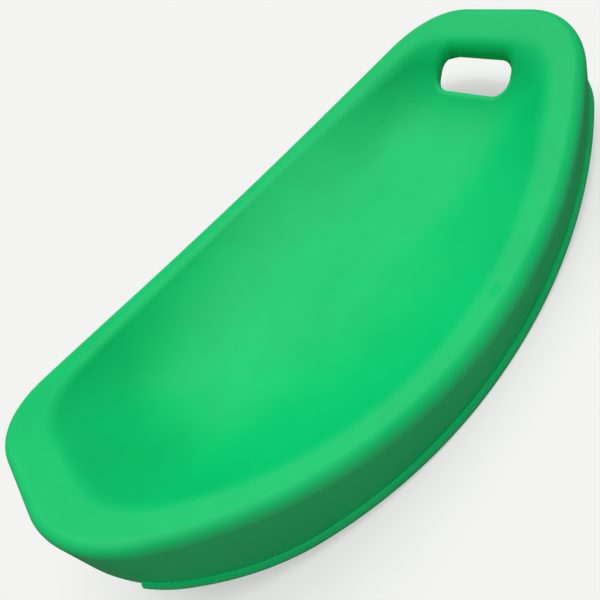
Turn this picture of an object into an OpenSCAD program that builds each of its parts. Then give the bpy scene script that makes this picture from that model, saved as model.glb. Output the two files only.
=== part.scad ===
// Scoop rocker seat: one thin plastic moulding, given region by region.
// It is laid out with +X from the foot end to the head end and +Z up, then leaned back to where it balances.

/* [Outline] */
// Length from the foot end to the widest place
foot_l = 318; // [250:1:400]
// Length from the widest place to the head end
head_l = 342; // [270:1:430]
// Width over the side walls at the widest place
body_w = 404; // [330:1:490]
// Width that the side curves have come down to at both ends
end_w = 186; // [150:1:225]
// Radius of the two corners at the foot end
foot_corner_r = 108; // [85:1:110]
// Radius of the two corners at the head end
head_corner_r = 98; // [70:1:110]

/* [Deck] */
// Width of the flat deck at the widest place, rounded edge included
side_deck = 29; // [24:1:40]
// Width of the deck at the foot end
foot_deck = 43; // [32:1:60]
// Width of the deck at the head end
head_deck = 46; // [36:1:60]
// Width that the seat's side curves have come down to at both of its ends
seat_end_w = 159; // [130:1:180]
// Radius of the seat's corners at the foot end
seat_foot_r = 88; // [60:1:90]
// Radius of the seat's corners at the head end
seat_head_r = 55; // [40:1:65]
// Distance from the foot end to the lowest place of the deck
deck_low_x = 286; // [230:1:340]
// Rise of the deck from its lowest place to the foot end
deck_foot_rise = 58; // [40:1:75]
// Rise of the deck from its lowest place to the head end
deck_head_rise = 90; // [60:1:110]
// Radius of the outer edge
edge_r = 13; // [8:0.5:16]
// Reach of the soft edge where the deck turns down into the seat
seat_edge = 7; // [4:0.5:10]
// Reach of that soft edge at the head end
head_edge = 13; // [7:0.5:16]

/* [Rockers] */
// Height of the deck's lowest place above the rocking curve's lowest place
rim_h = 60; // [50:1:80]
// Distance from the foot end to the lowest place of the rocking curve
rocker_low_x = 148; // [120:1:180]
// Rise of the rocking curve towards the foot end
rocker_foot_rise = 71; // [50:1:85]
// Rise of the rocking curve towards the head end
rocker_head_rise = 86; // [60:1:105]
// Outward slope of the side and end walls, in degrees
draft = 1.5; // [0.5:0.5:4]
// Height of the raised bead along each rocker
bead_h = 8; // [5:0.5:12]
// How far the bead stands out from the wall
bead_out = 4; // [3:0.5:8]

/* [Seat] */
// Wall thickness of the moulding
wall = 3.5; // [2.5:0.1:5]
// Height of the seat's floor above the rocking curve
floor_gap = 10; // [8:0.5:20]
// How boxy the seat's section is towards the sides
side_shape = 2.6; // [2:0.1:4]
// How boxy the seat's section is towards the foot end
foot_shape = 3.2; // [2:0.1:6]
// How boxy the seat's section is towards the head end
head_shape = 11; // [6:0.5:20]
// Direction from the seat's middle, off its long axis, where a side section starts to change to an end one
side_angle = 50; // [30:1:60]
// Direction where it has become an end section
end_angle = 6; // [2:1:15]

/* [Hand slot] */
// Width of the slot, across the seat
slot_w = 92; // [75:1:100]
// Opening of the slot, front to back
slot_gap = 24; // [18:0.5:28]
// Corner size of the slot, across the seat
slot_corner = 16; // [8:0.5:18]
// How far the slot reaches past the seat's end line into the deck
slot_back = 1.5; // [0:0.5:3]
// Thickness of the lip that turns down round the slot
collar_wall = 2.5; // [2:0.1:3.5]
// Depth of that lip below the seat
collar_h = 8; // [6:0.5:14]

/* [Hidden] */
plastic = "#00cc72";

body_l = foot_l + head_l;
slot_rise = 28;    // how far the head wall rises across the slot
slot_corner_x = slot_corner * slot_gap / norm([slot_gap, slot_rise]);    // round when seen square on
small = 0.001;

// ---- plane curves -------------------------------------------------------------------------------

// radius of an arc that rises by h over a run of l from its level point
function arc_r(l, h) = (l * l + h * h) / (2 * h);

// height at x of a curve made of two arcs that share a level lowest place at low_x
function two_arcs(x, low_x, foot_rise, head_rise, foot_x, head_x) =
    let (r = x < low_x ? arc_r(low_x - foot_x, foot_rise) : arc_r(head_x - low_x, head_rise))
    r - sqrt(max(r * r - (x - low_x) * (x - low_x), small));

function deck_z(x) = two_arcs(x, deck_low_x, deck_foot_rise, deck_head_rise, 0, body_l);
function rocker_z(x) = two_arcs(x, rocker_low_x, rocker_foot_rise, rocker_head_rise, 0, body_l) - rim_h;

// ---- outlines: plan curves with a straight foot end, two side arcs and a straight head end ------

end_cols = 3;
corner_cols = 8;
side_cols = 12;
half_cols = 2 * (end_cols + corner_cols + side_cols);
COLS = 2 * half_cols;
// columns where the end walls meet the side walls; both beads start at the foot one and meet at the head
foot_cut = 9;
head_cut = half_cols - 6;

// half an outline from the middle of the foot end to the middle of the head end, as [x, y, nx, ny]
function half_outline(x0, x1, mid_x, half_w, half_end, r0, r1) =
    let (
        s0 = arc_r(mid_x - x0, half_w - half_end),
        s1 = arc_r(x1 - mid_x, half_w - half_end),
        c0 = half_w - s0 + sqrt((s0 - r0) * (s0 - r0) - (mid_x - x0 - r0) * (mid_x - x0 - r0)),
        c1 = half_w - s1 + sqrt((s1 - r1) * (s1 - r1) - (x1 - r1 - mid_x) * (x1 - r1 - mid_x)),
        a0 = atan2(c0 - half_w + s0, x0 + r0 - mid_x),
        a1 = atan2(c1 - half_w + s1, x1 - r1 - mid_x)
    )
    [
        for (i = [0 : end_cols - 1]) [x0, c0 * i / end_cols, -1, 0],
        for (i = [0 : corner_cols - 1]) let (a = 180 + (a0 - 180) * i / corner_cols)
            [x0 + r0 + r0 * cos(a), c0 + r0 * sin(a), cos(a), sin(a)],
        for (i = [0 : side_cols - 1]) let (a = a0 + (90 - a0) * i / side_cols)
            [mid_x + s0 * cos(a), half_w - s0 + s0 * sin(a), cos(a), sin(a)],
        for (i = [0 : side_cols - 1]) let (a = 90 + (a1 - 90) * i / side_cols)
            [mid_x + s1 * cos(a), half_w - s1 + s1 * sin(a), cos(a), sin(a)],
        for (i = [0 : corner_cols - 1]) let (a = a1 - a1 * i / corner_cols)
            [x1 - r1 + r1 * cos(a), c1 + r1 * sin(a), cos(a), sin(a)],
        for (i = [0 : end_cols]) [x1, c1 * (1 - i / end_cols), 1, 0]
    ];

// the whole loop: up the left side (+Y) and back down the right side
function loop(half) = [
    for (p = half) p,
    for (i = [half_cols - 1 : -1 : 1]) [half[i].x, -half[i].y, half[i][2], -half[i][3]]
];

RIM = loop(half_outline(0, body_l, foot_l, body_w / 2, end_w / 2, foot_corner_r, head_corner_r));
SEAT = loop(half_outline(foot_deck, body_l - head_deck, foot_l, body_w / 2 - side_deck, seat_end_w / 2,
                         seat_foot_r, seat_head_r));

// ---- the top skin, as rows of points that run from the middle of the seat out and down to the rockers

SEAT_STEPS = [0.12, 0.25, 0.38, 0.5, 0.6, 0.7, 0.79, 0.86, 0.91, 0.945, 0.975, 1];
EDGE_STEPS = [0.25, 0.5, 0.75, 1];
DECK_STEPS = [0.5, 1];
ROUND_STEPS = [18 : 18 : 90];
pan_row = 6;
edge_row = len(SEAT_STEPS) + len(EDGE_STEPS) - 1;
rim_row = edge_row + len(DECK_STEPS) + 5;
bead_row = rim_row + 2;
base_row = bead_row + 1;

function blend(a, b, t) = a * (1 - t) + b * t;

// how far column j looks to an end of the seat rather than to a side, from 0 to 1 without a kink
function end_share(j) =
    let (
        a = atan2(abs(SEAT[j].y), abs(SEAT[j].x - foot_l)),
        t = max(0, min(1, (side_angle - a) / (side_angle - end_angle)))
    )
    t * t * (3 - 2 * t);

// a point of the seat, u of the way from its middle to its edge at column j
function seat_point(j, u) =
    let (
        e = SEAT[j],
        end_shape = e.x > foot_l ? head_shape : foot_shape,
        shape = 1 / blend(1 / side_shape, 1 / end_shape, end_share(j)),
        x = blend(foot_l, e.x, u),
        depth = deck_z(x) - rocker_z(x) - floor_gap
    )
    [x, e.y * u, deck_z(x) - depth * (1 - pow(u, shape))];

// a point of the deck, given in plan
function on_deck(x, y) = [x, y, deck_z(x)];

// reach of the soft edge at column j
function edge_reach(j) = SEAT[j].x > foot_l ? blend(seat_edge, head_edge, end_share(j)) : seat_edge;

// where the soft edge starts in the seat, as a share of the way from the middle
function edge_start(j) = 1 - edge_reach(j) / norm([SEAT[j].x - foot_l, SEAT[j].y]);

// where the soft edge ends on the deck
function edge_end(j) =
    let (reach = edge_reach(j))
    on_deck(SEAT[j].x + SEAT[j][2] * reach, SEAT[j].y + SEAT[j][3] * reach);

// the soft edge is a curve from the seat to the deck that aims at the sharp corner between them
function edge_point(j, t) =
    let (a = seat_point(j, edge_start(j)), c = on_deck(SEAT[j].x, SEAT[j].y))
    blend(blend(a, c, t), blend(c, edge_end(j), t), t);

// the rounded outer edge, a quarter circle that starts level
function round_point(j, a) =
    let (
        inset = edge_r * (1 - sin(a)),
        x = RIM[j].x - RIM[j][2] * inset,
        y = RIM[j].y - RIM[j][3] * inset
    )
    on_deck(x, y) - [0, 0, edge_r * (1 - cos(a))];

// a point of the side and end walls at height h above the rocking curve, and out from the wall by out
function wall_point(j, h, out = 0) =
    let (
        top = deck_z(RIM[j].x) - edge_r,
        full = tan(draft) * (top - rocker_z(RIM[j].x)),
        z = rocker_z(RIM[j].x + RIM[j][2] * full) + h,
        o = tan(draft) * (top - z) + out
    )
    [RIM[j].x + RIM[j][2] * o, RIM[j].y + RIM[j][3] * o, z];

// a point of the bead's rounded top, at angle a up from its furthest reach
function bead_point(j, a) = wall_point(j, bead_h * (0.35 + 0.65 * sin(a)), bead_out * cos(a));

// height of the upright part of the wall at column j
function wall_h(j) = round_point(j, 90).z - wall_point(j, 0).z;

TOP = [
    for (u = SEAT_STEPS) [for (j = [0 : COLS - 1]) seat_point(j, u * edge_start(j))],
    for (t = EDGE_STEPS) [for (j = [0 : COLS - 1]) edge_point(j, t)],
    for (t = DECK_STEPS) [for (j = [0 : COLS - 1])
        let (p = blend(edge_end(j), round_point(j, 0), t)) on_deck(p.x, p.y)],
    for (a = ROUND_STEPS) [for (j = [0 : COLS - 1]) round_point(j, a)],
    [for (j = [0 : COLS - 1]) wall_point(j, (wall_h(j) + bead_h) / 2)],
    [for (j = [0 : COLS - 1]) wall_point(j, bead_h)],
    [for (j = [0 : COLS - 1]) wall_point(j, 0)]
];
TOP_MID = seat_point(0, 0);

// the underside lies one wall below the top skin, square to it
function skin_normal(i, j) =
    let (
        down = TOP[min(i + 1, base_row)][j] - TOP[max(i - 1, 0)][j],
        along = TOP[i][(j + 1) % COLS] - TOP[i][(j + COLS - 1) % COLS],
        n = cross(along, down)
    )
    n / norm(n);

UNDER = [for (i = [0 : base_row]) [for (j = [0 : COLS - 1]) TOP[i][j] - wall * skin_normal(i, j)]];
UNDER_MID = TOP_MID - [0, 0, wall];

// ---- how it balances ----------------------------------------------------------------------------

ones = [for (i = [0 : base_row - 1], j = [0 : COLS - 1]) 1];
patch_areas = [for (i = [0 : base_row - 1], j = [0 : COLS - 1])
    norm(cross(TOP[i + 1][(j + 1) % COLS] - TOP[i][j], TOP[i + 1][j] - TOP[i][(j + 1) % COLS])) / 2];
patch_middles = [for (i = [0 : base_row - 1], j = [0 : COLS - 1])
    (TOP[i][j] + TOP[i + 1][j] + TOP[i][(j + 1) % COLS] + TOP[i + 1][(j + 1) % COLS]) / 4];
balance = (patch_areas * patch_middles) / (patch_areas * ones);

// it rolls along the rocking curve until the arc's centre is straight above the centre of mass
rocker_head_r = arc_r(body_l - rocker_low_x, rocker_head_rise);
lean = atan((balance.x - rocker_low_x) / (rocker_head_r - rim_h - balance.z));

function leaned(p) = [p.x * cos(lean) + p.z * sin(lean), p.y, p.z * cos(lean) - p.x * sin(lean)];

OUTSIDE = [
    for (i = [edge_row : base_row], j = [0 : COLS - 1]) leaned(TOP[i][j]),
    for (j = [foot_cut : COLS - foot_cut]) leaned(bead_point(j, 0))
];
FOOTING = [for (j = [0 : COLS - 1]) leaned(UNDER[base_row][j]), for (p = OUTSIDE) p];
rest_x = (min([for (p = OUTSIDE) p.x]) + max([for (p = OUTSIDE) p.x])) / 2;
rest_z = min([for (p = FOOTING) p.z]);

module at_rest() {
    translate([-rest_x, 0, -rest_z])
        rotate([0, lean, 0])
            children();
}

// ---- solids -------------------------------------------------------------------------------------

// a slab between two skins of rows x cols points, open at its ends
module slab(upper, lower) {
    rows = len(upper);
    cols = len(upper[0]);
    n = rows * cols;
    function at(i, j) = i * cols + j;
    polyhedron(
        points = [for (r = upper) for (p = r) p, for (r = lower) for (p = r) p],
        faces = [
            for (i = [0 : rows - 2], j = [0 : cols - 2]) each [
                [at(i, j), at(i + 1, j), at(i + 1, j + 1)],
                [at(i, j), at(i + 1, j + 1), at(i, j + 1)],
                [n + at(i, j), n + at(i + 1, j + 1), n + at(i + 1, j)],
                [n + at(i, j), n + at(i, j + 1), n + at(i + 1, j + 1)]
            ],
            for (j = [0 : cols - 2]) each [
                [at(0, j), at(0, j + 1), n + at(0, j + 1)],
                [at(0, j), n + at(0, j + 1), n + at(0, j)],
                [at(rows - 1, j), n + at(rows - 1, j + 1), at(rows - 1, j + 1)],
                [at(rows - 1, j), n + at(rows - 1, j), n + at(rows - 1, j + 1)]
            ],
            for (i = [0 : rows - 2]) each [
                [at(i, 0), n + at(i + 1, 0), at(i + 1, 0)],
                [at(i, 0), n + at(i, 0), n + at(i + 1, 0)],
                [at(i, cols - 1), at(i + 1, cols - 1), n + at(i + 1, cols - 1)],
                [at(i, cols - 1), n + at(i + 1, cols - 1), n + at(i, cols - 1)]
            ]
        ]
    );
}

// the rows r0 to r1 and columns c0 to c1 of a skin
function piece(skin, r0, r1, c0, c1) =
    [for (i = [r0 : r1]) [for (j = [c0 : c1]) skin[i][(j + COLS) % COLS]]];

module patch(r0, r1, c0, c1) {
    slab(piece(TOP, r0, r1, c0, c1), piece(UNDER, r0, r1, c0, c1));
}

// a band of rows r0 to r1 that goes all the way round
module band(r0, r1) {
    rows = r1 - r0 + 1;
    n = rows * COLS;
    function at(i, j) = i * COLS + j % COLS;
    polyhedron(
        points = [
            for (i = [r0 : r1]) for (p = TOP[i]) p,
            for (i = [r0 : r1]) for (p = UNDER[i]) p
        ],
        faces = [
            for (i = [0 : rows - 2], j = [0 : COLS - 1]) each [
                [at(i, j), at(i + 1, j), at(i + 1, j + 1)],
                [at(i, j), at(i + 1, j + 1), at(i, j + 1)],
                [n + at(i, j), n + at(i + 1, j + 1), n + at(i + 1, j)],
                [n + at(i, j), n + at(i, j + 1), n + at(i + 1, j + 1)]
            ],
            for (j = [0 : COLS - 1]) each [
                [at(0, j), at(0, j + 1), n + at(0, j + 1)],
                [at(0, j), n + at(0, j + 1), n + at(0, j)],
                [at(rows - 1, j), n + at(rows - 1, j + 1), at(rows - 1, j + 1)],
                [at(rows - 1, j), n + at(rows - 1, j), n + at(rows - 1, j + 1)]
            ]
        ]
    );
}

// a dish of the rows 0 to r1, closed at the middle
module dish(r1) {
    n = (r1 + 1) * COLS;
    function at(i, j) = i * COLS + j % COLS;
    polyhedron(
        points = [
            for (i = [0 : r1]) for (p = TOP[i]) p,
            for (i = [0 : r1]) for (p = UNDER[i]) p,
            TOP_MID,
            UNDER_MID
        ],
        faces = [
            for (i = [0 : r1 - 1], j = [0 : COLS - 1]) each [
                [at(i, j), at(i + 1, j), at(i + 1, j + 1)],
                [at(i, j), at(i + 1, j + 1), at(i, j + 1)],
                [n + at(i, j), n + at(i + 1, j + 1), n + at(i + 1, j)],
                [n + at(i, j), n + at(i, j + 1), n + at(i + 1, j + 1)]
            ],
            for (j = [0 : COLS - 1]) each [
                [2 * n, at(0, j), at(0, j + 1)],
                [2 * n + 1, n + at(0, j + 1), n + at(0, j)],
                [at(r1, j), n + at(r1, j + 1), at(r1, j + 1)],
                [at(r1, j), n + at(r1, j), n + at(r1, j + 1)]
            ]
        ]
    );
}

// ---- the regions of the moulding ----------------------------------------------------------------

// column where the seat's corners beside the hand hold start
corner_cut = half_cols - end_cols - corner_cols - 2;
// columns of the hand hold's two sides
hold_cut = half_cols - end_cols - 2;
hold_end = half_cols + end_cols + 2;

module seat_pan() {
    color(plastic)
        at_rest()
            dish(pan_row);
}

module seat_wall(c0, c1) {
    color(plastic)
        at_rest()
            patch(pan_row, edge_row, c0, c1);
}

module foot_seat_wall() {
    seat_wall(COLS - foot_cut, COLS + foot_cut);
}

module left_seat_wall() {
    seat_wall(foot_cut, corner_cut);
}

module right_seat_wall() {
    seat_wall(COLS - corner_cut, COLS - foot_cut);
}

module left_seat_corner() {
    seat_wall(corner_cut, hold_cut);
}

module right_seat_corner() {
    seat_wall(hold_end, COLS - corner_cut);
}

// the slot in plan: a rectangle whose corners are quarter ellipses, grown all round by grow
module slot_plan(grow) {
    back = body_l - head_deck + slot_back;
    rx = slot_corner_x + grow;
    ry = slot_corner + grow;
    hx = slot_gap / 2 + grow - rx;
    hy = slot_w / 2 + grow - ry;
    steps = 6;
    translate([back - slot_gap / 2, 0])
        polygon([
            for (q = [0 : 3]) for (i = [0 : steps]) let (a = 90 * (q + i / steps))
                [(q == 0 || q == 3 ? hx : -hx) + rx * cos(a), (q < 2 ? hy : -hy) + ry * sin(a)]
        ]);
}

module slot_prism(grow) {
    translate([0, 0, -rim_h])
        linear_extrude(height = rim_h + 2 * deck_head_rise)
            slot_plan(grow);
}

module hand_hold() {
    color(plastic)
        at_rest()
            difference() {
                patch(pan_row, edge_row, hold_cut, hold_end);
                slot_prism(0);
            }
}

module slot_collar() {
    under = piece(UNDER, pan_row, edge_row, hold_cut, hold_end);
    color(plastic)
        at_rest()
            difference() {
                intersection() {
                    slot_prism(collar_wall);
                    slab(under, [for (r = under) [for (p = r) p - [0, 0, collar_h]]]);
                }
                slot_prism(0);
            }
}

module rim_deck() {
    color(plastic)
        at_rest()
            band(edge_row, rim_row);
}

module side_skirt(c0, c1) {
    color(plastic)
        at_rest()
            patch(rim_row, base_row, c0, c1);
}

module left_skirt() {
    side_skirt(foot_cut, head_cut);
}

module right_skirt() {
    side_skirt(COLS - head_cut, COLS - foot_cut);
}

module foot_skirt() {
    side_skirt(COLS - foot_cut, COLS + foot_cut);
}

module head_skirt() {
    side_skirt(head_cut, COLS - head_cut);
}

// the bead's section at column j, from the wall out over the rounded top and down to the rocking edge
function bead_section(j) = [
    wall_point(j, bead_h),
    for (a = [67.5 : -22.5 : 0]) bead_point(j, a),
    wall_point(j, 0, bead_out * 0.9),
    wall_point(j, 0)
];

module runner(c0, c1) {
    sections = [for (j = [c0 : c1]) bead_section(j % COLS)];
    m = len(sections[0]);
    n = len(sections);
    function at(i, k) = i * m + k % m;
    color(plastic)
        at_rest()
            polyhedron(
                points = [for (s = sections) for (p = s) p],
                faces = [
                    for (i = [0 : n - 2], k = [0 : m - 1]) each [
                        [at(i, k), at(i, k + 1), at(i + 1, k + 1)],
                        [at(i, k), at(i + 1, k + 1), at(i + 1, k)]
                    ],
                    [for (k = [m - 1 : -1 : 0]) at(0, k)],
                    [for (k = [0 : m - 1]) at(n - 1, k)]
                ]
            );
}

module left_runner() {
    runner(foot_cut, half_cols);
}

module right_runner() {
    runner(half_cols, COLS - foot_cut);
}

seat_pan();
foot_seat_wall();
left_seat_wall();
right_seat_wall();
left_seat_corner();
right_seat_corner();
hand_hold();
slot_collar();
rim_deck();
left_skirt();
right_skirt();
foot_skirt();
head_skirt();
left_runner();
right_runner();
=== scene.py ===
"""Scoop rocker seat: the finished surfaces of the moulding, built round the packed model.

The seat is one thin plastic moulding. Its top skin is a grid of points: rows run from the middle of the seat
out over the deck and down to the rocking edges, and columns run round it, from the middle of the foot end, up
the left side to the head end and back down the right side. The underside lies one wall below. Each region of
the moulding is cut out of that grid as a closed slab, and all of them take their normals from the same skin,
so no seam shows.
"""

import math

import bpy
import numpy as np
from mathutils import Euler, Matrix, Vector


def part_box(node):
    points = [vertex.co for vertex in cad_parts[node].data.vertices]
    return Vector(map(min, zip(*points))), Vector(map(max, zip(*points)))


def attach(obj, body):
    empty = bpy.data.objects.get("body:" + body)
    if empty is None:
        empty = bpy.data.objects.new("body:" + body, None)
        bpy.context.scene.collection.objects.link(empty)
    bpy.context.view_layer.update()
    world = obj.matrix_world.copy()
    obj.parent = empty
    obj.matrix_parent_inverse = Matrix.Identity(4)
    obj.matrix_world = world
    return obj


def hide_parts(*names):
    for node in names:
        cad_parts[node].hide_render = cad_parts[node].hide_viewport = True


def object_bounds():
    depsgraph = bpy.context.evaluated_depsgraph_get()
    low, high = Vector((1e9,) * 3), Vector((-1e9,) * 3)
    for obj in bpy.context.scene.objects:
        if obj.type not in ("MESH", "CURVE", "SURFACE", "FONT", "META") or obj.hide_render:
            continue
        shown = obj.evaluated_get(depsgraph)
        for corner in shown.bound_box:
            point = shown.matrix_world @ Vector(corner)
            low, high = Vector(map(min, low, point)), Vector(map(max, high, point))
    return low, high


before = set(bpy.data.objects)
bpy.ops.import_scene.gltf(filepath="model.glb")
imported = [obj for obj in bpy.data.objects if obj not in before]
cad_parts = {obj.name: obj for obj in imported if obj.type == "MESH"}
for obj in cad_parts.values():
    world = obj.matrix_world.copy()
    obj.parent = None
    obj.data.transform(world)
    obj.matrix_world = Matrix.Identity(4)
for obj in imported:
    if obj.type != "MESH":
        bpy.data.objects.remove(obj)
CAD_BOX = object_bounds()

bl_info = {
    "name": "Scoop rocker seat",
    "version": (1, 0, 0),
    "blender": (4, 5, 0),
    "location": "View3D > Sidebar > Rocker seat",
    "description": "Builds a one-piece moulded scoop rocker seat round its packed model, with its stage",
    "category": "Add Mesh",
}

MM = 0.001
TINY = 1e-12
BODY = "root"


def length(name, description, mm):
    """A length property whose default is given in millimetres."""
    return bpy.props.FloatProperty(
        name=name, description=description, default=mm * MM, unit="LENGTH", subtype="DISTANCE", precision=4
    )


def colour(name, description, hex_value):
    """A colour property whose default is an sRGB hex value."""
    return bpy.props.FloatVectorProperty(
        name=name,
        description=description,
        default=linear(hex_value)[:3],
        size=3,
        subtype="COLOR",
        min=0,
        max=1,
    )


def degrees(name, description, value):
    """An angle property whose default is given in degrees."""
    return bpy.props.FloatProperty(
        name=name, description=description, default=math.radians(value), unit="ROTATION", subtype="ANGLE"
    )


def number(name, description, value, **limits):
    """A property for a plain number."""
    return bpy.props.FloatProperty(name=name, description=description, default=value, **limits)


def linear(hex_value):
    """An sRGB hex value such as "#00cc72" as linear red, green, blue and alpha."""
    parts = [int(hex_value[i : i + 2], 16) / 255 for i in (1, 3, 5)]
    return tuple(p / 12.92 if p <= 0.04045 else ((p + 0.055) / 1.055) ** 2.4 for p in parts) + (1.0,)


# ---- sizes and looks ----------------------------------------------------------------------------


class RockerOutline(bpy.types.PropertyGroup):
    """The outline of the moulding in plan."""

    foot_l: length("Foot length", "From the foot end to the widest place", 318)
    head_l: length("Head length", "From the widest place to the head end", 342)
    body_w: length("Width", "Width over the side walls at the widest place", 404)
    end_w: length("End width", "Width that the side curves have come down to at both ends", 186)
    foot_corner_r: length("Foot corner", "Radius of the two corners at the foot end", 108)
    head_corner_r: length("Head corner", "Radius of the two corners at the head end", 98)
    side_deck: length("Side deck", "Width of the deck at the widest place, rounded edge included", 29)
    foot_deck: length("Foot deck", "Width of the deck at the foot end", 43)
    head_deck: length("Head deck", "Width of the deck at the head end", 46)
    seat_end_w: length("Seat end width", "Width that the seat's sides have come down to at its ends", 159)
    seat_foot_r: length("Seat foot corner", "Radius of the seat's corners at the foot end", 88)
    seat_head_r: length("Seat head corner", "Radius of the seat's corners at the head end", 55)


class RockerSection(bpy.types.PropertyGroup):
    """The deck's curve, the rocking curve and the seat's section."""

    deck_low_x: length("Deck low", "From the foot end to the lowest place of the deck", 286)
    deck_foot_rise: length("Deck foot rise", "Rise of the deck to the foot end", 58)
    deck_head_rise: length("Deck head rise", "Rise of the deck to the head end", 90)
    edge_r: length("Outer edge", "Radius of the outer edge", 13)
    seat_edge: length("Seat edge", "Reach of the soft edge where the deck turns down into the seat", 7)
    head_edge: length("Head edge", "Reach of that soft edge at the head end", 13)
    rim_h: length("Rim height", "Deck's lowest place above the rocking curve's lowest place", 60)
    rocker_low_x: length("Rocker low", "From the foot end to the lowest place of the rocking curve", 148)
    rocker_foot_rise: length("Rocker foot rise", "Rise of the rocking curve towards the foot end", 71)
    rocker_head_rise: length("Rocker head rise", "Rise of the rocking curve towards the head end", 86)
    draft: degrees("Draft", "Outward slope of the walls", 1.5)
    lean: degrees("Lean", "How far it leans back in balance", 6.769)
    bead_h: length("Bead height", "Height of the raised bead along each rocker", 8)
    bead_out: length("Bead reach", "How far the bead stands out from the wall", 4)
    wall: length("Wall", "Wall thickness of the moulding", 3.5)
    floor_gap: length("Floor gap", "Height of the seat's floor above the rocking curve", 10)
    side_shape: number("Side shape", "How boxy the section is to the sides", 2.6)
    foot_shape: number("Foot shape", "How boxy the section is to the foot", 3.2)
    head_shape: number("Head shape", "How boxy the section is to the head", 11)


class RockerSlot(bpy.types.PropertyGroup):
    """The hand slot and the lip that turns down round it."""

    width: length("Width", "Width of the slot across the seat", 92)
    gap: length("Gap", "Opening of the slot, front to back", 24)
    corner: length("Corner", "Corner size of the slot, across the seat", 16)
    corner_gap: length("Corner depth", "Corner size of the slot, front to back", 10.4)
    back: length("Back", "How far the slot reaches past the seat's end line into the deck", 1.5)
    collar_wall: length("Lip wall", "Thickness of the lip round the slot", 2.5)
    collar_h: length("Lip depth", "Depth of that lip below the seat", 8)
    roll_front: length("Front roll", "Width of the soft roll at the slot's front and sides", 9)
    roll_back: length("Back roll", "Width of the soft roll at the slot's back", 11)
    roll_h: length("Roll depth", "Depth of the soft roll", 11)


class RockerLook(bpy.types.PropertyGroup):
    """The plastic's colour and finish."""

    plastic: colour("Plastic", "Colour of the plastic", "#00cc72")
    roughness: number("Roughness", "Roughness of the satin surface", 0.42, min=0, max=1)
    grain: length("Grain", "Size of the moulded grain", 0.9)
    cloud: length("Cloud", "Size of the faint colour clouds in the plastic", 55)


class RockerStage(bpy.types.PropertyGroup):
    """The floor, the lights and the camera."""

    floor: colour("Floor", "Colour of the floor", "#f4f4f2")
    floor_w: length("Floor width", "Width of the floor", 12000)
    glow: number("Glow", "How lit the floor looks from the camera", 0.6)
    bounce: number("Bounce", "Share of its colour that the floor bounces", 0.75)
    room: number("Room", "Strength of the light that the room itself gives", 0.07)
    azimuth: degrees("Azimuth", "Where the camera stands round the seat", -12.5)
    elevation: degrees("Elevation", "How steeply the camera looks down", 43.7)
    roll: degrees("Roll", "How far the camera is turned about its view", 40.4)
    distance: length("Distance", "Distance from the camera to the point it looks at", 560.6)
    aim_x: length("Aim X", "The point that the camera looks at, along X", -42.6)
    aim_y: length("Aim Y", "The point that the camera looks at, along Y", -7.8)
    aim_z: length("Aim Z", "The point that the camera looks at, along Z", 40)
    lens: number("Lens", "Focal length in mm, for the camera's sensor", 33)


# ---- the skin: plan curves, heights and the grid of points --------------------------------------

# columns of half the outline: the straight half of an end, a corner and a side curve, FINE times as many as
# the packed model has
FINE = 4
END_COLS, CORNER_COLS, SIDE_COLS = 3 * FINE, 8 * FINE, 12 * FINE
HALF_COLS = 2 * (END_COLS + CORNER_COLS + SIDE_COLS)
COLS = 2 * HALF_COLS

# columns at which the regions are cut apart: foot wall, head wall, the seat's corners and the hand hold
FOOT_CUT = 9 * FINE
HEAD_CUT = HALF_COLS - 6 * FINE
CORNER_CUT = HALF_COLS - END_COLS - CORNER_COLS - 2 * FINE
HOLD_CUT = HALF_COLS - END_COLS - 2 * FINE
HOLD_END = HALF_COLS + END_COLS + 2 * FINE

# directions from the seat's middle, off its long axis, between which a side section turns to an end one
SIDE_ANGLE = math.radians(50)
END_ANGLE = math.radians(6)

# rows of the grid, region by region. The pan's rows go from PAN_START to PAN_SHARE of the way out.
PAN_START = 0.03
PAN_SHARE = 0.79
PAN_STEPS = np.linspace(PAN_START, PAN_SHARE, 27)
WALL_STEPS = PAN_SHARE + (1 - PAN_SHARE) * np.sin(np.linspace(0, math.pi / 2, 25)[1:])
EDGE_STEPS = np.linspace(0, 1, 13)[1:]
DECK_STEPS = np.linspace(0, 1, 7)[1:]
ROUND_STEPS = np.linspace(0, math.pi / 2, 13)[1:]
SKIRT_STEPS = np.linspace(0, 1, 11)[1:]
PAN_ROW = len(PAN_STEPS) - 1
EDGE_ROW = PAN_ROW + len(WALL_STEPS) + len(EDGE_STEPS)
RIM_ROW = EDGE_ROW + len(DECK_STEPS) + len(ROUND_STEPS)


def arc_radius(run, rise):
    """Radius of an arc that rises by rise over a run from its level point: (run^2 + rise^2) / (2 rise)."""
    return (run * run + rise * rise) / (2 * rise)


def unit(v):
    """Vectors divided by their length."""
    return v / np.maximum(np.linalg.norm(v, axis=-1, keepdims=True), TINY)


def mix(a, b, t):
    """The point t of the way from a to b."""
    return a * (1 - t) + b * t


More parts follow.
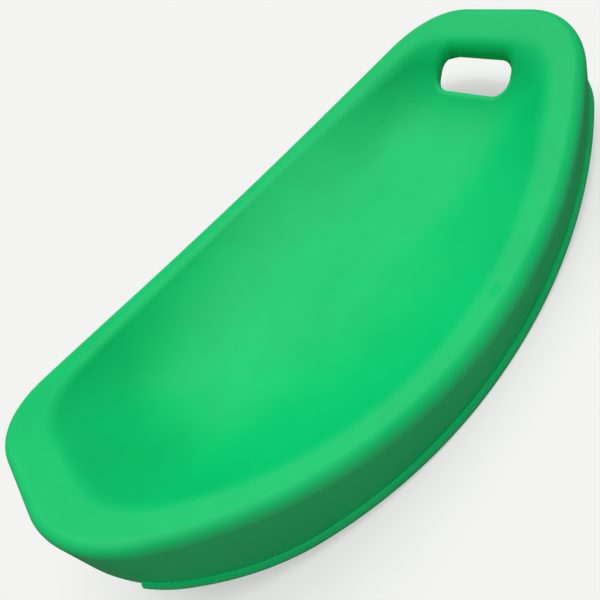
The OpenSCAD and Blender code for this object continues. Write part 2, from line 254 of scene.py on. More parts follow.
class Skin:
    """The moulding's top and bottom skins for one set of sizes, in its own frame before it leans."""

    def __init__(self, outline, section):
        self.o, self.s = outline, section
        self.body_l = outline.foot_l + outline.head_l
        self.middle = np.array([outline.foot_l, 0.0])
        self.rim = self.outline(
            0,
            self.body_l,
            outline.body_w / 2,
            outline.end_w / 2,
            outline.foot_corner_r,
            outline.head_corner_r,
        )
        self.seat = self.outline(
            outline.foot_deck,
            self.body_l - outline.head_deck,
            outline.body_w / 2 - outline.side_deck,
            outline.seat_end_w / 2,
            outline.seat_foot_r,
            outline.seat_head_r,
        )
        self.top = self.top_rows()
        self.normal = self.grid_normals(self.top)
        self.under = self.top - section.wall * self.normal

    def outline(self, x0, x1, half_w, half_end, r0, r1):
        """A plan curve as rows of x, y and its outward normal.

        Half of it is a straight foot end, a corner arc of radius r0, two side arcs that share their widest
        place, where y is half_w, and would come down to half_end at the ends, a corner arc of radius r1 and a
        straight head end. A corner arc is tangent to its end and lies inside its side arc. The other half is
        its mirror image.
        """
        mid = self.o.foot_l
        s0, s1 = arc_radius(mid - x0, half_w - half_end), arc_radius(x1 - mid, half_w - half_end)
        c0 = half_w - s0 + math.sqrt((s0 - r0) ** 2 - (mid - x0 - r0) ** 2)
        c1 = half_w - s1 + math.sqrt((s1 - r1) ** 2 - (x1 - r1 - mid) ** 2)
        a0 = math.atan2(c0 - half_w + s0, x0 + r0 - mid)
        a1 = math.atan2(c1 - half_w + s1, x1 - r1 - mid)

        def arc(cx, cy, r, start, end, steps):
            """An arc of the curve, without its last point."""
            a = np.linspace(start, end, steps, endpoint=False)
            return np.stack([cx + r * np.cos(a), cy + r * np.sin(a), np.cos(a), np.sin(a)], 1)

        def end(x, y0, y1, nx, steps, endpoint):
            """Half of a straight end of the curve."""
            y = np.linspace(y0, y1, steps, endpoint=endpoint)
            return np.stack([np.full_like(y, x), y, np.full_like(y, nx), np.zeros_like(y)], 1)

        half = np.concatenate([
            end(x0, 0, c0, -1, END_COLS, False),
            arc(x0 + r0, c0, r0, math.pi, a0, CORNER_COLS),
            arc(mid, half_w - s0, s0, a0, math.pi / 2, SIDE_COLS),
            arc(mid, half_w - s1, s1, math.pi / 2, a1, SIDE_COLS),
            arc(x1 - r1, c1, r1, a1, 0, CORNER_COLS),
            end(x1, c1, 0, 1, END_COLS + 1, True),
        ])
        return np.concatenate([half, half[-2:0:-1] * [1, -1, 1, -1]])

    def two_arcs(self, x, low_x, foot_rise, head_rise):
        """Height at x of two arcs that share a level lowest place at low_x and rise to the two ends."""
        r = np.where(x < low_x, arc_radius(low_x, foot_rise), arc_radius(self.body_l - low_x, head_rise))
        return r - np.sqrt(np.maximum(r * r - (x - low_x) ** 2, TINY))

    def deck_z(self, x):
        """Height of the deck at x."""
        return self.two_arcs(x, self.s.deck_low_x, self.s.deck_foot_rise, self.s.deck_head_rise)

    def rocker_z(self, x):
        """Height of the rocking curve at x."""
        curve = self.two_arcs(x, self.s.rocker_low_x, self.s.rocker_foot_rise, self.s.rocker_head_rise)
        return curve - self.s.rim_h

    def on_deck(self, plan):
        """Plan points lifted to the deck."""
        return np.concatenate([plan, self.deck_z(plan[:, :1])], 1)

    def towards_end(self, sign):
        """How far each column looks to the head (sign 1) or to the foot (sign -1) rather than to a side.

        It rises as 3 t^2 - 2 t^3 while the column's direction from the middle turns from SIDE_ANGLE to
        END_ANGLE, so the section changes round the seat without a crease.
        """
        out = self.seat[:, :2] - self.middle
        angle = np.arctan2(np.abs(out[:, 1]), sign * out[:, 0])
        t = np.clip((SIDE_ANGLE - angle) / (SIDE_ANGLE - END_ANGLE), 0, 1)
        return (t * t * (3 - 2 * t))[:, None]

    def seat_point(self, u):
        """Points of the seat, the share u of the way from its middle to its edge, for every column.

        z = deck - depth (1 - u^shape), where depth reaches down to floor_gap above the rocking curve, and
        1 / shape goes from 1 / side_shape to 1 / foot_shape or 1 / head_shape by the weights of towards_end.
        """
        plan = mix(self.middle, self.seat[:, :2], u)
        to_foot, to_head = self.towards_end(-1), self.towards_end(1)
        to_side = 1 - to_foot - to_head
        shape = 1 / (to_side / self.s.side_shape + to_foot / self.s.foot_shape + to_head / self.s.head_shape)
        deck = self.deck_z(plan[:, :1])
        depth = deck - self.rocker_z(plan[:, :1]) - self.s.floor_gap
        return np.concatenate([plan, deck - depth * (1 - np.power(u, shape))], 1)

    def round_point(self, a):
        """Points of the rounded outer edge, a quarter circle that starts level, at angle a."""
        inset = self.s.edge_r * (1 - math.sin(a))
        plan = self.rim[:, :2] - self.rim[:, 2:] * inset
        return self.on_deck(plan) - [0, 0, self.s.edge_r * (1 - math.cos(a))]

    def wall_point(self, h, out=0.0):
        """Points of the side and end walls, h above the rocking curve and out from the wall.

        The wall reaches out by tan(draft) (top - z) on its way down from the rounded edge.
        """
        top = self.deck_z(self.rim[:, 0]) - self.s.edge_r
        slope = math.tan(self.s.draft)
        foot_out = slope * (top - self.rocker_z(self.rim[:, 0]))
        z = self.rocker_z(self.rim[:, 0] + self.rim[:, 2] * foot_out) + h
        reach = slope * (top - z) + out
        plan = self.rim[:, :2] + self.rim[:, 2:] * reach[:, None]
        return np.concatenate([plan, z[:, None]], 1)

    def top_rows(self):
        """The top skin, row by row, down to the bottom of the walls.

        The soft edge between seat and deck is a quadratic curve that aims at the sharp corner between them:
        (1-t)^2 seat + 2 t (1-t) corner + t^2 deck.
        """
        reach = self.s.seat_edge + (self.s.head_edge - self.s.seat_edge) * self.towards_end(1)
        start = 1 - reach / np.linalg.norm(self.seat[:, :2] - self.middle, axis=1, keepdims=True)
        rows = [self.seat_point(u * start) for u in np.concatenate([PAN_STEPS, WALL_STEPS])]
        seat_end = rows[-1]
        corner = self.on_deck(self.seat[:, :2])
        deck_start = self.on_deck(self.seat[:, :2] + self.seat[:, 2:] * reach)
        rows += [mix(mix(seat_end, corner, t), mix(corner, deck_start, t), t) for t in EDGE_STEPS]
        round_start = self.round_point(0)
        rows += [self.on_deck(mix(deck_start, round_start, t)[:, :2]) for t in DECK_STEPS]
        rows += [self.round_point(a) for a in ROUND_STEPS]
        wall_top = rows[-1][:, 2] - self.wall_point(0)[:, 2]
        rows += [self.wall_point(wall_top * (1 - t)) for t in SKIRT_STEPS]
        return np.stack(rows)

    @staticmethod
    def grid_normals(rows):
        """Unit normals of a grid whose columns close on themselves: each row crossed with each column."""
        along = np.roll(rows, -1, 1) - np.roll(rows, 1, 1)
        down = np.gradient(rows, axis=0)
        return unit(np.cross(along, down))


# ---- closed slabs and their meshes --------------------------------------------------------------

WEAR = "wear"


def leaned(v, section):
    """Points or normals turned about Y by the lean: x' = x cos + z sin, z' = z cos - x sin."""
    c, s = math.cos(section.lean), math.sin(section.lean)
    return np.stack([v[..., 0] * c + v[..., 2] * s, v[..., 1], v[..., 2] * c - v[..., 0] * s], -1)


def standing(skin):
    """The shift that stands the leaned skin where the packed deck is: same middle along X, same top."""
    low, high = (np.array(corner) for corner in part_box("rim_deck"))
    deck = leaned(skin.top[EDGE_ROW : RIM_ROW + 1], skin.s).reshape(-1, 3)
    shift_x = (low[0] + high[0]) / 2 - (deck[:, 0].min() + deck[:, 0].max()) / 2
    return np.array([shift_x, 0, high[2] - deck[:, 2].max()])


class Slab:
    """A closed solid between two skins. Faces are gathered with a normal at each of their corners."""

    def __init__(self):
        self.points, self.faces, self.normals, self.wear, self.count = [], [], [], [], 0

    def add_points(self, grid, wear=0.0):
        """Adds a grid of points and returns the grid of their numbers."""
        flat = grid.reshape(-1, 3)
        numbers = np.arange(self.count, self.count + len(flat)).reshape(grid.shape[:-1])
        self.points.append(flat)
        self.wear.append(np.broadcast_to(wear, grid.shape[:-1]).ravel())
        self.count += len(flat)
        return numbers

    def add_quads(self, a, b, c, d, corner_normals=None):
        """Adds quads a b c d, given as four grids of point numbers, with four grids of normals or none."""
        quads = np.stack([a, b, c, d], -1).reshape(-1, 4)
        if corner_normals is None:
            p = np.concatenate(self.points)[quads]
            flat = unit(np.cross(p[:, 2] - p[:, 0], p[:, 3] - p[:, 1]))
            normals = np.repeat(flat[:, None], 4, 1)
        else:
            normals = np.stack(corner_normals, -2).reshape(-1, 4, 3)
        self.faces += quads.tolist()
        self.normals.append(normals.reshape(-1, 3))

    def add_skin(self, numbers, normals, closed, down):
        """Adds a grid's quads. closed joins its last column to its first, and down turns its faces round."""
        if closed:
            numbers = np.concatenate([numbers, numbers[:, :1]], 1)
            normals = np.concatenate([normals, normals[:, :1]], 1)
        n = [numbers[:-1, :-1], numbers[:-1, 1:], numbers[1:, 1:], numbers[1:, :-1]]
        v = [normals[:-1, :-1], normals[:-1, 1:], normals[1:, 1:], normals[1:, :-1]]
        if down:
            n, v = n[::-1], [-x for x in v[::-1]]
        self.add_quads(*n, v)

    def add_wall(self, upper, lower):
        """Adds the flat wall that joins two runs of point numbers, the upper run over the lower one."""
        self.add_quads(lower[:-1], lower[1:], upper[1:], upper[:-1])

    def add_pole(self, point, ring, ring_normals, down):
        """Closes a ring with a fan of triangles to one point."""
        top = self.add_points(np.array(point).reshape(1, 3))[0]
        ring_next = np.roll(ring, -1)
        middle_normal = np.broadcast_to(unit(ring_normals.mean(0)), ring_normals.shape)
        v = [middle_normal, np.roll(ring_normals, -1, 0), ring_normals]
        n = [np.full_like(ring, top), ring_next, ring]
        if down:
            n, v = n[::-1], [-x for x in v[::-1]]
        self.faces += np.stack(n, -1).tolist()
        self.normals.append(np.stack(v, -2).reshape(-1, 3))


def build_slab(upper, upper_normals, lower, lower_normals, closed, wear=0.0):
    """A slab between two grids that share their columns.

    Both end rows, and both end columns unless the grids are closed, get flat walls. The grids may have
    different numbers of rows where they are closed.
    """
    slab = Slab()
    top = slab.add_points(upper, wear)
    bottom = slab.add_points(lower)
    slab.add_skin(top, upper_normals, closed, False)
    slab.add_skin(bottom, lower_normals, closed, True)
    ring = (lambda row: np.append(row, row[0])) if closed else (lambda row: row)
    slab.add_wall(ring(top[0]), ring(bottom[0]))
    slab.add_wall(ring(bottom[-1]), ring(top[-1]))
    if not closed:
        for column, order in ((0, 1), (-1, -1)):
            a, b = (top[:, column], bottom[:, column])[::order]
            slab.add_quads(a[:-1], a[1:], b[1:], b[:-1])
    return slab


def put(slab, name, skin, material, *nodes):
    """Makes the slab a mesh object that stands for the packed nodes, leaned and standing as they do."""
    points = leaned(np.concatenate(slab.points), skin.s) + standing(skin)
    points = np.clip(points, *CAD_BOX)
    mesh = bpy.data.meshes.new(name)
    mesh.from_pydata(points.tolist(), [], slab.faces)
    mesh.polygons.foreach_set("use_smooth", np.ones(len(slab.faces), bool))
    mesh.normals_split_custom_set(leaned(np.concatenate(slab.normals), skin.s).tolist())
    wear = mesh.attributes.new(WEAR, "FLOAT", "POINT")
    wear.data.foreach_set("value", np.concatenate(slab.wear).astype(np.float32))
    mesh.materials.append(material)
    piece = bpy.data.objects.new(name, mesh)
    bpy.context.scene.collection.objects.link(piece)
    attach(piece, BODY)
    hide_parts(*nodes)
    return piece


# ---- the regions of the moulding ----------------------------------------------------------------


def columns(grid, c0, c1):
    """Columns c0 to c1 of a grid whose columns close on themselves."""
    return np.take(grid, np.arange(c0, c1 + 1) % COLS, axis=1)


def patch(skin, r0, r1, c0, c1):
    """Rows r0 to r1 and columns c0 to c1 of the moulding as a slab."""
    top, under, normal = (columns(g[r0 : r1 + 1], c0, c1) for g in (skin.top, skin.under, skin.normal))
    return build_slab(top, normal, under, normal, False)


def seat_pan(skin):
    """The dished floor of the seat: the rows up to the pan's edge, closed at the middle."""
    rows = slice(0, PAN_ROW + 1)
    slab = Slab()
    top, bottom = slab.add_points(skin.top[rows]), slab.add_points(skin.under[rows])
    slab.add_skin(top, skin.normal[rows], True, False)
    slab.add_skin(bottom, skin.normal[rows], True, True)
    slab.add_wall(np.append(bottom[-1], bottom[-1, 0]), np.append(top[-1], top[-1, 0]))
    middle = skin.seat_point(np.zeros((COLS, 1)))[0]
    slab.add_pole(middle, top[0], skin.normal[0], False)
    slab.add_pole(middle - [0, 0, skin.s.wall], bottom[0], skin.normal[0], True)
    return slab


def rim_deck(skin):
    """The flat deck round the seat with its rounded outer edge, which is the part that hands rub."""
    rows = slice(EDGE_ROW, RIM_ROW + 1)
    rounding = np.zeros(RIM_ROW + 1 - EDGE_ROW)
    rounding[len(DECK_STEPS) :] = np.sin(np.linspace(0, math.pi, len(ROUND_STEPS) + 1))
    return build_slab(
        skin.top[rows], skin.normal[rows], skin.under[rows], skin.normal[rows], True, rounding[:, None]
    )


LIP_R = 1.2 * MM
LIP_STEPS = np.linspace(0, math.pi / 2, 5)

# how steeply the wear builds up towards the bottom of a wall and of a bead
WALL_WEAR = 6
BEAD_WEAR = 2

# how far the bead is rooted in the wall, the share of its height at which it is widest, the share of its
# reach that its bottom has, and the heights of the points on its back as shares of its own
BEAD_ROOT = 0.4 * MM
BEAD_SIDE = 0.35
BEAD_FOOT = 0.9
BEAD_BACK = (0.9, 0.5, 0)


def skirt(skin, c0, c1, beaded):
    """A side or end wall. Its bottom corners are quarter circles of radius LIP_R, except under a bead."""
    heights, insets = LIP_R * (1 - np.sin(LIP_STEPS)), LIP_R * (1 - np.cos(LIP_STEPS))
    inner = [skin.wall_point(h, inset - skin.s.wall) for h, inset in zip(heights, insets)]
    outer = [skin.wall_point(h, 0.0 if beaded else -inset) for h, inset in zip(heights, insets)]
    upper = np.concatenate([skin.top[RIM_ROW:-1], outer])
    lower = np.concatenate([skin.under[RIM_ROW:-1], inner])
    upper_normals, lower_normals = skin.grid_normals(upper), skin.grid_normals(lower)
    upper_normals[0] = lower_normals[0] = skin.normal[RIM_ROW]
    wear = np.linspace(0, 1, len(upper))[:, None] ** WALL_WEAR
    return build_slab(
        *(columns(g, c0, c1) for g in (upper, upper_normals, lower, lower_normals)), False, wear
    )


def runner(skin, c0, c1):
    """The raised bead along a rocker: a quarter ellipse out to bead_out, then down to a small lip."""
    h, out = skin.s.bead_h, skin.s.bead_out
    crest = [
        (h * (BEAD_SIDE + (1 - BEAD_SIDE) * math.sin(a)), out * math.cos(a))
        for a in np.linspace(math.pi / 2, 0, 13)
    ]
    foot = [(LIP_R * (1 - math.sin(a)), out * BEAD_FOOT + LIP_R * (math.cos(a) - 1)) for a in LIP_STEPS]
    upper = np.stack([skin.wall_point(*p) for p in [(h, -BEAD_ROOT)] + crest + foot])
    lower = np.stack([skin.wall_point(h * share, -BEAD_ROOT) for share in BEAD_BACK])
    upper_normals, lower_normals = skin.grid_normals(upper), skin.grid_normals(lower)
    slab = Slab()
    top = slab.add_points(columns(upper, c0, c1), np.linspace(0, 1, len(upper))[:, None] ** BEAD_WEAR)
    bottom = slab.add_points(columns(lower, c0, c1))
    slab.add_skin(top, columns(upper_normals, c0, c1), False, False)
    slab.add_skin(bottom, columns(lower_normals, c0, c1), False, True)
    slab.add_wall(top[0], bottom[0])
    slab.add_wall(bottom[-1], top[-1])
    for column, order in ((0, 1), (-1, -1)):
        loop = np.concatenate([top[:, column], bottom[::-1, column]])[::order]
        slab.faces.append(loop.tolist())
        p = np.concatenate(slab.points)[loop]
        face_normal = unit(np.cross(p, np.roll(p, -1, 0)).sum(0))
        slab.normals.append(np.repeat(face_normal[None], len(loop), 0))
    return slab


# ---- the hand slot ------------------------------------------------------------------------------

# rings round the slot, and the power that crowds them towards it
RINGS = 14
RING_CROWDING = 0.8
ROLL_STEPS = np.linspace(0, 1, 13)[1:]

# the run over which the grid's slope is measured
SLOPE_RUN = 0.5 * MM

# Newton's method on the grid: its steps, the share of a cell it probes and how much of one a step may cross
NEWTON_STEPS, NEWTON_PROBE, NEWTON_REACH = 20, 0.01, 0.7

# the lip under the slot: the roll at its top, its bottom corner, and its rows as shares of the way down
LIP_ROLL = 2 * MM
LIP_CORNER = 1.0 * MM
LIP_DROPS = (0.33, 0.66, 1)


def sample(grid, rc):
    """The grid at fractional rows and columns, by bilinear mixing of its four neighbours."""
    r0 = np.clip(np.floor(rc[..., 0]).astype(int), 0, len(grid) - 2)
    c0 = np.floor(rc[..., 1]).astype(int)
    fr, fc = (rc[..., 0] - r0)[..., None], (rc[..., 1] - c0)[..., None]
    return mix(mix(grid[r0, c0], grid[r0, c0 + 1], fc), mix(grid[r0 + 1, c0], grid[r0 + 1, c0 + 1], fc), fr)


def locate(grid, plan):
    """Fractional rows and columns where the grid passes over plan points: the nearest, then Newton steps."""
    near = grid[PAN_ROW : EDGE_ROW + 2, HOLD_CUT : HOLD_END + 1, :2]
    apart = np.linalg.norm(near[None] - plan[:, None, None], axis=-1).reshape(len(plan), -1)
    rc = np.stack(np.unravel_index(apart.argmin(1), near.shape[:2]), 1) + [PAN_ROW, HOLD_CUT] + 1e-3
    for _ in range(NEWTON_STEPS):
        here = sample(grid, rc)[:, :2]
        by_row = (sample(grid, rc + [NEWTON_PROBE, 0])[:, :2] - here) / NEWTON_PROBE
        by_col = (sample(grid, rc + [0, NEWTON_PROBE])[:, :2] - here) / NEWTON_PROBE
        move = np.linalg.solve(np.stack([by_row, by_col], -1), (plan - here)[..., None])[..., 0]
        rc = rc + np.clip(move, -NEWTON_REACH, NEWTON_REACH)
    return rc


def slot_loop(slot, centre_x, angle):
    """The slot's outline and outward normals in plan at the given angles of its unit square.

    It is a rectangle with quarter ellipses for corners. The angle is that of (x / half gap, y / half width).
    """
    quarter = np.linspace(0, math.pi / 2, 25)
    a = np.concatenate([quarter + q * math.pi / 2 for q in range(4)])
    side_x, side_y = (np.repeat(signs, len(quarter)) for signs in ((1, -1, -1, 1), (1, 1, -1, -1)))
    x = side_x * (slot.gap / 2 - slot.corner_gap) + slot.corner_gap * np.cos(a)
    y = side_y * (slot.width / 2 - slot.corner) + slot.corner * np.sin(a)
    nx, ny = np.cos(a) / slot.corner_gap, np.sin(a) / slot.corner
    turn = np.unwrap(np.arctan2(y / slot.width, x / slot.gap))
    found = [np.interp(angle, turn, v, period=2 * math.pi) for v in (x, y, nx, ny)]
    return np.stack([found[0] + centre_x, found[1]], 1), unit(np.stack(found[2:], 1))


def hold_border():
    """Rows and columns of the points round the hand hold, anticlockwise from the deck's right corner."""
    c, r = np.arange(HOLD_END, HOLD_CUT, -1), np.arange(EDGE_ROW, PAN_ROW, -1)
    sides = [
        (np.full_like(c, EDGE_ROW), c),
        (r, np.full_like(r, HOLD_CUT)),
        (np.full_like(c, PAN_ROW), HOLD_CUT + HOLD_END - c),
        (PAN_ROW + EDGE_ROW - r, np.full_like(r, HOLD_END)),
    ]
    return np.concatenate([np.stack(side, 1) for side in sides]).astype(float)


def roll(grid, border, loop, normals, width, depth, steps):
    """Rings from the border to the slot's loop, and the soft roll there.

    The rings lie on the grid. The roll is a quadratic curve from the grid, at width from the loop, to depth
    below the loop. It aims at the corner where the grid's own slope meets the upright wall, so it starts
    without a crease.
    """
    edge = locate(grid, loop + normals * width[:, None])
    before = sample(grid, locate(grid, loop + normals * (width + SLOPE_RUN)[:, None]))
    t = (np.linspace(0, 1, RINGS + 1) ** RING_CROWDING)[:, None, None]
    rings = mix(border[None], edge[None], t)
    start = sample(grid, edge)
    slope = (start[:, 2] - before[:, 2]) / SLOPE_RUN
    corner = np.concatenate([loop, (start[:, 2] + slope * width)[:, None]], 1)
    end = corner - [0, 0, depth]
    curve = np.stack([mix(mix(start, corner, t), mix(corner, end, t), t) for t in steps])
    return rings, np.concatenate([sample(grid, rings), curve])


def hand_slot(skin, slot):
    """The hand hold with its slot, and the lip round the slot, as two slabs."""
    centre_x = skin.body_l - skin.o.head_deck + slot.back - slot.gap / 2
    border = hold_border()
    plan = sample(skin.top, border)[:, :2] - [centre_x, 0]
    reach_x = np.where(plan[:, 0] > 0, plan[:, 0].max(), -plan[:, 0].min())
    reach_y = np.abs(plan[:, 1]).max()
    angle = np.arctan2(plan[:, 1] / reach_y, plan[:, 0] / reach_x)
    loop, normals = slot_loop(slot, centre_x, angle)
    towards_back = np.clip(normals[:, 0], 0, 1) ** 2
    width = mix(slot.roll_front, slot.roll_back, towards_back)
    rings, top = roll(skin.top, border, loop, normals, width, slot.roll_h, ROLL_STEPS)
    lip_loop = loop + normals * slot.collar_wall
    lip_width = np.full(len(loop), LIP_ROLL)
    _, under = roll(skin.under, border, lip_loop, normals, lip_width, LIP_ROLL, ROLL_STEPS[1::2])

    def lip(side_loop, first, sign):
        """Rows down one side of the lip from the row first, with a quarter circle at its bottom corner."""
        bottom = sample(skin.under, locate(skin.under, side_loop))[:, 2] - slot.collar_h
        rows = [mix(first[:, 2], bottom + LIP_CORNER, t) for t in LIP_DROPS]
        rows = [np.concatenate([side_loop, z[:, None]], 1) for z in rows]
        for a in LIP_STEPS[1:]:
            inset = side_loop + sign * normals * LIP_CORNER * (1 - math.cos(a))
            rows.append(np.concatenate([inset, (bottom + LIP_CORNER * (1 - math.sin(a)))[:, None]], 1))
        return np.stack(rows)

    top_all = np.concatenate([top, lip(loop, top[-1], 1)])
    under_all = np.concatenate([under, lip(lip_loop, under[-1], -1)])
    top_normals, under_normals = skin.grid_normals(top_all), skin.grid_normals(under_all)
    top_normals[: RINGS + 1] = unit(sample(skin.normal, rings))
    under_normals[0] = top_normals[0]
    n, m = len(top), len(under)
    hold = build_slab(top, top_normals[:n], under, under_normals[:m], True)
    collar = build_slab(
        top_all[n - 1 :], top_normals[n - 1 :], under_all[m - 1 :], under_normals[m - 1 :], True
    )
    return hold, collar


# ---- material -----------------------------------------------------------------------------------

# the part of the cloud noise's range that shows, and how far the colour and the roughness swing over it
CLOUD_RANGE = (0.3, 0.7)
COLOUR_SWING = 0.035
ROUGHNESS_SWING = 0.03

# how far a rubbed edge is mixed with white, and the bump that the grain makes
RUBBED_PALE = 0.02
GRAIN_STRENGTH = 0.10
GRAIN_DEPTH = 0.05 * MM


def node(tree, kind, links=(), **settings):
    """Adds a node with its settings and links. A setting named after an input sets that input's value."""
    made = tree.nodes.new(kind)
    for key, value in settings.items():
        if key in made.inputs:
            made.inputs[key].default_value = value
        else:
            setattr(made, key, value)
    for name, source in links:
        tree.links.new(source, made.inputs[name])
    return made


def moulded_plastic(look):
    """Moulded polyethylene, satin: a soft waxy sheen, the mould's very fine grain and faint colour clouds.

    Hands, clothes and floors polish the rounded edges a little, which the wear attribute gives.
    """
    material = bpy.data.materials.new("satin_moulded_polyethylene")
    material.use_nodes = True
    tree = material.node_tree
    tree.nodes.clear()
    place = node(tree, "ShaderNodeTexCoord").outputs["Object"]
    worn = node(tree, "ShaderNodeAttribute", attribute_name=WEAR).outputs["Fac"]
    cloud = node(
        tree, "ShaderNodeTexNoise", [("Vector", place)], Scale=1 / look.cloud, Detail=3.0, Roughness=0.55
    ).outputs["Fac"]
    grain = node(
        tree, "ShaderNodeTexNoise", [("Vector", place)], Scale=1 / look.grain, Detail=2.0, Roughness=0.6
    ).outputs["Fac"]
    shades = node(tree, "ShaderNodeValToRGB", [("Fac", cloud)])
    swings = (-COLOUR_SWING, COLOUR_SWING)
    for element, position, swing in zip(shades.color_ramp.elements, CLOUD_RANGE, swings):
        element.position = position
        element.color = tuple(min(c * (1 + swing), 1.0) for c in look.plastic) + (1.0,)
    rubbed = node(
        tree, "ShaderNodeMath", [(0, worn), (1, cloud)], operation="MULTIPLY"
    ).outputs["Value"]
    tint = node(
        tree, "ShaderNodeMix", [(0, rubbed), (6, shades.outputs["Color"])], data_type="RGBA", blend_type="MIX"
    )
    tint.inputs[7].default_value = tuple(mix(np.array(look.plastic), np.ones(3), RUBBED_PALE)) + (1.0,)
    gloss = node(
        tree,
        "ShaderNodeMapRange",
        [("Value", cloud)],
        **{
            "From Min": CLOUD_RANGE[0],
            "From Max": CLOUD_RANGE[1],
            "To Min": look.roughness - ROUGHNESS_SWING,
            "To Max": look.roughness + ROUGHNESS_SWING,
        },
    )
    bump = node(
        tree, "ShaderNodeBump", [("Height", grain)], Strength=GRAIN_STRENGTH, Distance=GRAIN_DEPTH
    )
    shader = node(
        tree,
        "ShaderNodeBsdfPrincipled",
        [
            ("Base Color", tint.outputs[2]),
            ("Roughness", gloss.outputs["Result"]),
            ("Normal", bump.outputs["Normal"]),
        ],
        IOR=1.51,
    )
    node(tree, "ShaderNodeOutputMaterial", [("Surface", shader.outputs["BSDF"])])
    return material


def camera_only(tree, seen, felt, output):
    """Links one shader to an output for the camera's own rays and another for the light that bounces."""
    ray = node(tree, "ShaderNodeLightPath").outputs["Is Camera Ray"]
    both = node(tree, "ShaderNodeMixShader", [(0, ray), (1, felt), (2, seen)])
    node(tree, output, [("Surface", both.outputs["Shader"])])


def floor_paint(stage):
    """Matt paint on a lit studio table.

    It glows for the camera, so the shadow on it is faint, and bounces little light.
    """
    material = bpy.data.materials.new("matt_floor_paint")
    material.use_nodes = True
    tree = material.node_tree
    tree.nodes.clear()
    pale = tuple(stage.floor) + (1.0,)
    dull = tuple(c * stage.bounce for c in stage.floor) + (1.0,)
    matt = node(tree, "ShaderNodeBsdfDiffuse", Color=pale)
    felt = node(tree, "ShaderNodeBsdfDiffuse", Color=dull)
    glow = node(tree, "ShaderNodeEmission", Color=pale, Strength=1.0)
    lit = node(tree, "ShaderNodeMixShader", [(1, matt.outputs["BSDF"]), (2, glow.outputs["Emission"])])
    lit.inputs["Fac"].default_value = stage.glow
    camera_only(tree, lit.outputs["Shader"], felt.outputs["BSDF"], "ShaderNodeOutputMaterial")
    return material


# ---- operators ----------------------------------------------------------------------------------


def current(context):
    """The skin for the scene's sizes, and its plastic."""
    scene = context.scene
    skin = Skin(scene.rocker_outline, scene.rocker_section)
    plastic = bpy.data.materials.get("satin_moulded_polyethylene") or moulded_plastic(scene.rocker_look)
    return skin, plastic


class ROCKER_OT_seat_pan(bpy.types.Operator):
    """Build the dished floor of the seat"""

    bl_idname = "rocker.seat_pan"
    bl_label = "Seat pan"

    def execute(self, context):
        skin, plastic = current(context)
        put(seat_pan(skin), "seat_floor", skin, plastic, "seat_pan")
        return {"FINISHED"}


class ROCKER_OT_seat_walls(bpy.types.Operator):
    """Build the seat's sloping walls at the foot end, at both sides and in the corners at the head end"""

    bl_idname = "rocker.seat_walls"
    bl_label = "Seat walls"

    def execute(self, context):
        skin, plastic = current(context)
        for name, node_name, c0, c1 in (
            ("foot_seat_slope", "foot_seat_wall", COLS - FOOT_CUT, COLS + FOOT_CUT),
            ("left_seat_slope", "left_seat_wall", FOOT_CUT, CORNER_CUT),
            ("right_seat_slope", "right_seat_wall", COLS - CORNER_CUT, COLS - FOOT_CUT),
            ("left_seat_turn", "left_seat_corner", CORNER_CUT, HOLD_CUT),
            ("right_seat_turn", "right_seat_corner", HOLD_END, COLS - CORNER_CUT),
        ):
            put(patch(skin, PAN_ROW, EDGE_ROW, c0, c1), name, skin, plastic, node_name)
        return {"FINISHED"}


class ROCKER_OT_hand_slot(bpy.types.Operator):
    """Build the steep head wall with the hand slot, and the lip round the slot"""

    bl_idname = "rocker.hand_slot"
    bl_label = "Hand slot"

    def execute(self, context):
        skin, plastic = current(context)
        hold, collar = hand_slot(skin, context.scene.rocker_slot)
        put(hold, "hand_hold_wall", skin, plastic, "hand_hold")
        put(collar, "hand_slot_lip", skin, plastic, "slot_collar")
        return {"FINISHED"}


class ROCKER_OT_rim_deck(bpy.types.Operator):
    """Build the flat deck round the seat with its rounded edge"""

    bl_idname = "rocker.rim_deck"
    bl_label = "Rim deck"

    def execute(self, context):
        skin, plastic = current(context)
        put(rim_deck(skin), "rounded_rim", skin, plastic, "rim_deck")
        return {"FINISHED"}


class ROCKER_OT_skirts(bpy.types.Operator):
    """Build the two side walls and the two end walls"""

    bl_idname = "rocker.skirts"
    bl_label = "Skirts"

    def execute(self, context):
        skin, plastic = current(context)
        for name, node_name, c0, c1, beaded in (
            ("left_side_wall", "left_skirt", FOOT_CUT, HEAD_CUT, True),
            ("right_side_wall", "right_skirt", COLS - HEAD_CUT, COLS - FOOT_CUT, True),
            ("foot_end_wall", "foot_skirt", COLS - FOOT_CUT, COLS + FOOT_CUT, False),
            ("head_end_wall", "head_skirt", HEAD_CUT, COLS - HEAD_CUT, False),
        ):
            put(skirt(skin, c0, c1, beaded), name, skin, plastic, node_name)
        return {"FINISHED"}


class ROCKER_OT_runners(bpy.types.Operator):
    """Build the raised beads along the two rockers"""

    bl_idname = "rocker.runners"
    bl_label = "Runners"

    def execute(self, context):
        skin, plastic = current(context)
        put(runner(skin, FOOT_CUT, HALF_COLS), "left_rocker_bead", skin, plastic, "left_runner")
        put(runner(skin, HALF_COLS, COLS - FOOT_CUT), "right_rocker_bead", skin, plastic, "right_runner")
        return {"FINISHED"}


SENSOR_W = 36

# each light's name, direction, spread in degrees and strength, and whether the plastic mirrors it
LIGHTS = (
    ("far_key", (0.27, 0.45, 0.85), 50, 1.65, False),
    ("top_key", (0, -0.06, 1), 26, 1.4, False),
    ("sheen", (-0.2, -0.3, 1), 35, 0.1, True),
)


def soft_light(name, towards, spread, strength, glare):
    """A far, wide soft light in the direction towards, which lights the whole floor evenly.

    Without glare it is not mirrored in the plastic, as with a polarised studio light.
    """
    lamp = bpy.data.lights.new(name, "SUN")
    lamp.angle, lamp.energy = math.radians(spread), strength
    light = bpy.data.objects.new(name, lamp)
    light.rotation_euler = Vector(towards).to_track_quat("Z", "Y").to_euler()
    light.visible_glossy = glare
    bpy.context.scene.collection.objects.link(light)


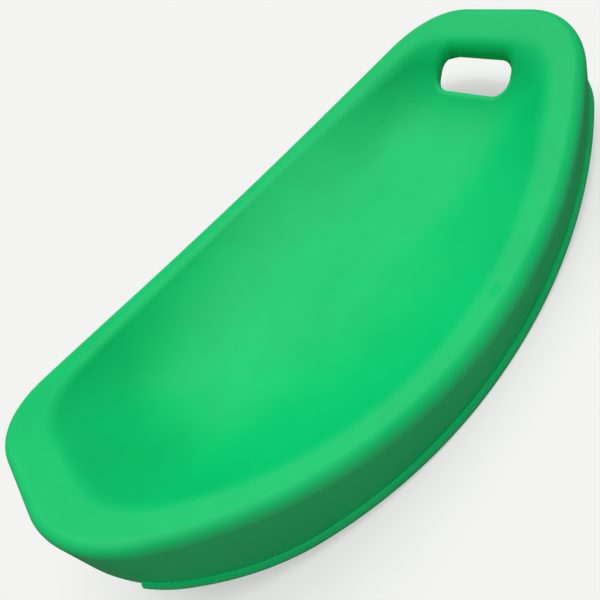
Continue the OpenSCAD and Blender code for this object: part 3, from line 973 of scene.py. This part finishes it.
class ROCKER_OT_stage(bpy.types.Operator):
    """Set up the floor, the soft lights and the camera"""

    bl_idname = "rocker.stage"
    bl_label = "Stage"

    def execute(self, context):
        stage = context.scene.rocker_stage
        half = stage.floor_w / 2
        mesh = bpy.data.meshes.new("floor")
        corners = [(-half, -half, 0), (half, -half, 0), (half, half, 0), (-half, half, 0)]
        mesh.from_pydata(corners, [], [(0, 1, 2, 3)])
        mesh.materials.append(floor_paint(stage))
        floor = bpy.data.objects.new("floor", mesh)
        context.scene.collection.objects.link(floor)
        floor.visible_glossy = False

        aim = Vector((stage.aim_x, stage.aim_y, stage.aim_z))
        facing = Euler((math.pi / 2 - stage.elevation, 0, stage.azimuth)).to_matrix()
        turn = facing @ Matrix.Rotation(-stage.roll, 3, "Z")
        camera = bpy.data.objects.new("camera", bpy.data.cameras.new("camera"))
        camera.data.lens, camera.data.sensor_width = stage.lens, SENSOR_W
        camera.matrix_world = Matrix.Translation(aim + turn.col[2] * stage.distance) @ turn.to_4x4()
        context.scene.collection.objects.link(camera)
        context.scene.camera = camera

        world = bpy.data.worlds.new("soft_room")
        world.use_nodes = True
        tree = world.node_tree
        tree.nodes.clear()
        pale = tuple(stage.floor) + (1.0,)
        seen = node(tree, "ShaderNodeBackground", Color=pale, Strength=1.0)
        felt = node(tree, "ShaderNodeBackground", Color=pale, Strength=stage.room)
        camera_only(tree, seen.outputs["Background"], felt.outputs["Background"], "ShaderNodeOutputWorld")
        context.scene.world = world
        for light in LIGHTS:
            soft_light(*light)
        context.scene.view_settings.view_transform = "Standard"
        return {"FINISHED"}


class ROCKER_PT_panel(bpy.types.Panel):
    """Lists the pieces, the stage and their sizes"""

    bl_label = "Rocker seat"
    bl_idname = "ROCKER_PT_panel"
    bl_space_type = "VIEW_3D"
    bl_region_type = "UI"
    bl_category = "Rocker seat"

    def draw(self, context):
        for group in GROUPS:
            box = self.layout.box()
            box.label(text=group.__doc__.split("\n")[0])
            settings = getattr(context.scene, GROUPS[group])
            for key in group.__annotations__:
                box.prop(settings, key)
        for operator in OPERATORS:
            self.layout.operator(operator.bl_idname)


GROUPS = {
    RockerOutline: "rocker_outline",
    RockerSection: "rocker_section",
    RockerSlot: "rocker_slot",
    RockerLook: "rocker_look",
    RockerStage: "rocker_stage",
}
OPERATORS = (
    ROCKER_OT_seat_pan,
    ROCKER_OT_seat_walls,
    ROCKER_OT_hand_slot,
    ROCKER_OT_rim_deck,
    ROCKER_OT_skirts,
    ROCKER_OT_runners,
    ROCKER_OT_stage,
)


def register():
    """Register the settings, the operators and the panel."""
    for group, attribute in GROUPS.items():
        bpy.utils.register_class(group)
        setattr(bpy.types.Scene, attribute, bpy.props.PointerProperty(type=group))
    for operator in (*OPERATORS, ROCKER_PT_panel):
        bpy.utils.register_class(operator)


def unregister():
    """Take out what register put in."""
    for operator in (*OPERATORS, ROCKER_PT_panel):
        bpy.utils.unregister_class(operator)
    for group, attribute in GROUPS.items():
        delattr(bpy.types.Scene, attribute)
        bpy.utils.unregister_class(group)


def main():
    register()
    bpy.ops.rocker.seat_pan()
    bpy.ops.rocker.seat_walls()
    bpy.ops.rocker.hand_slot()
    bpy.ops.rocker.rim_deck()
    bpy.ops.rocker.skirts()
    bpy.ops.rocker.runners()
    bpy.ops.rocker.stage()


if __name__ == "__main__":
    main()
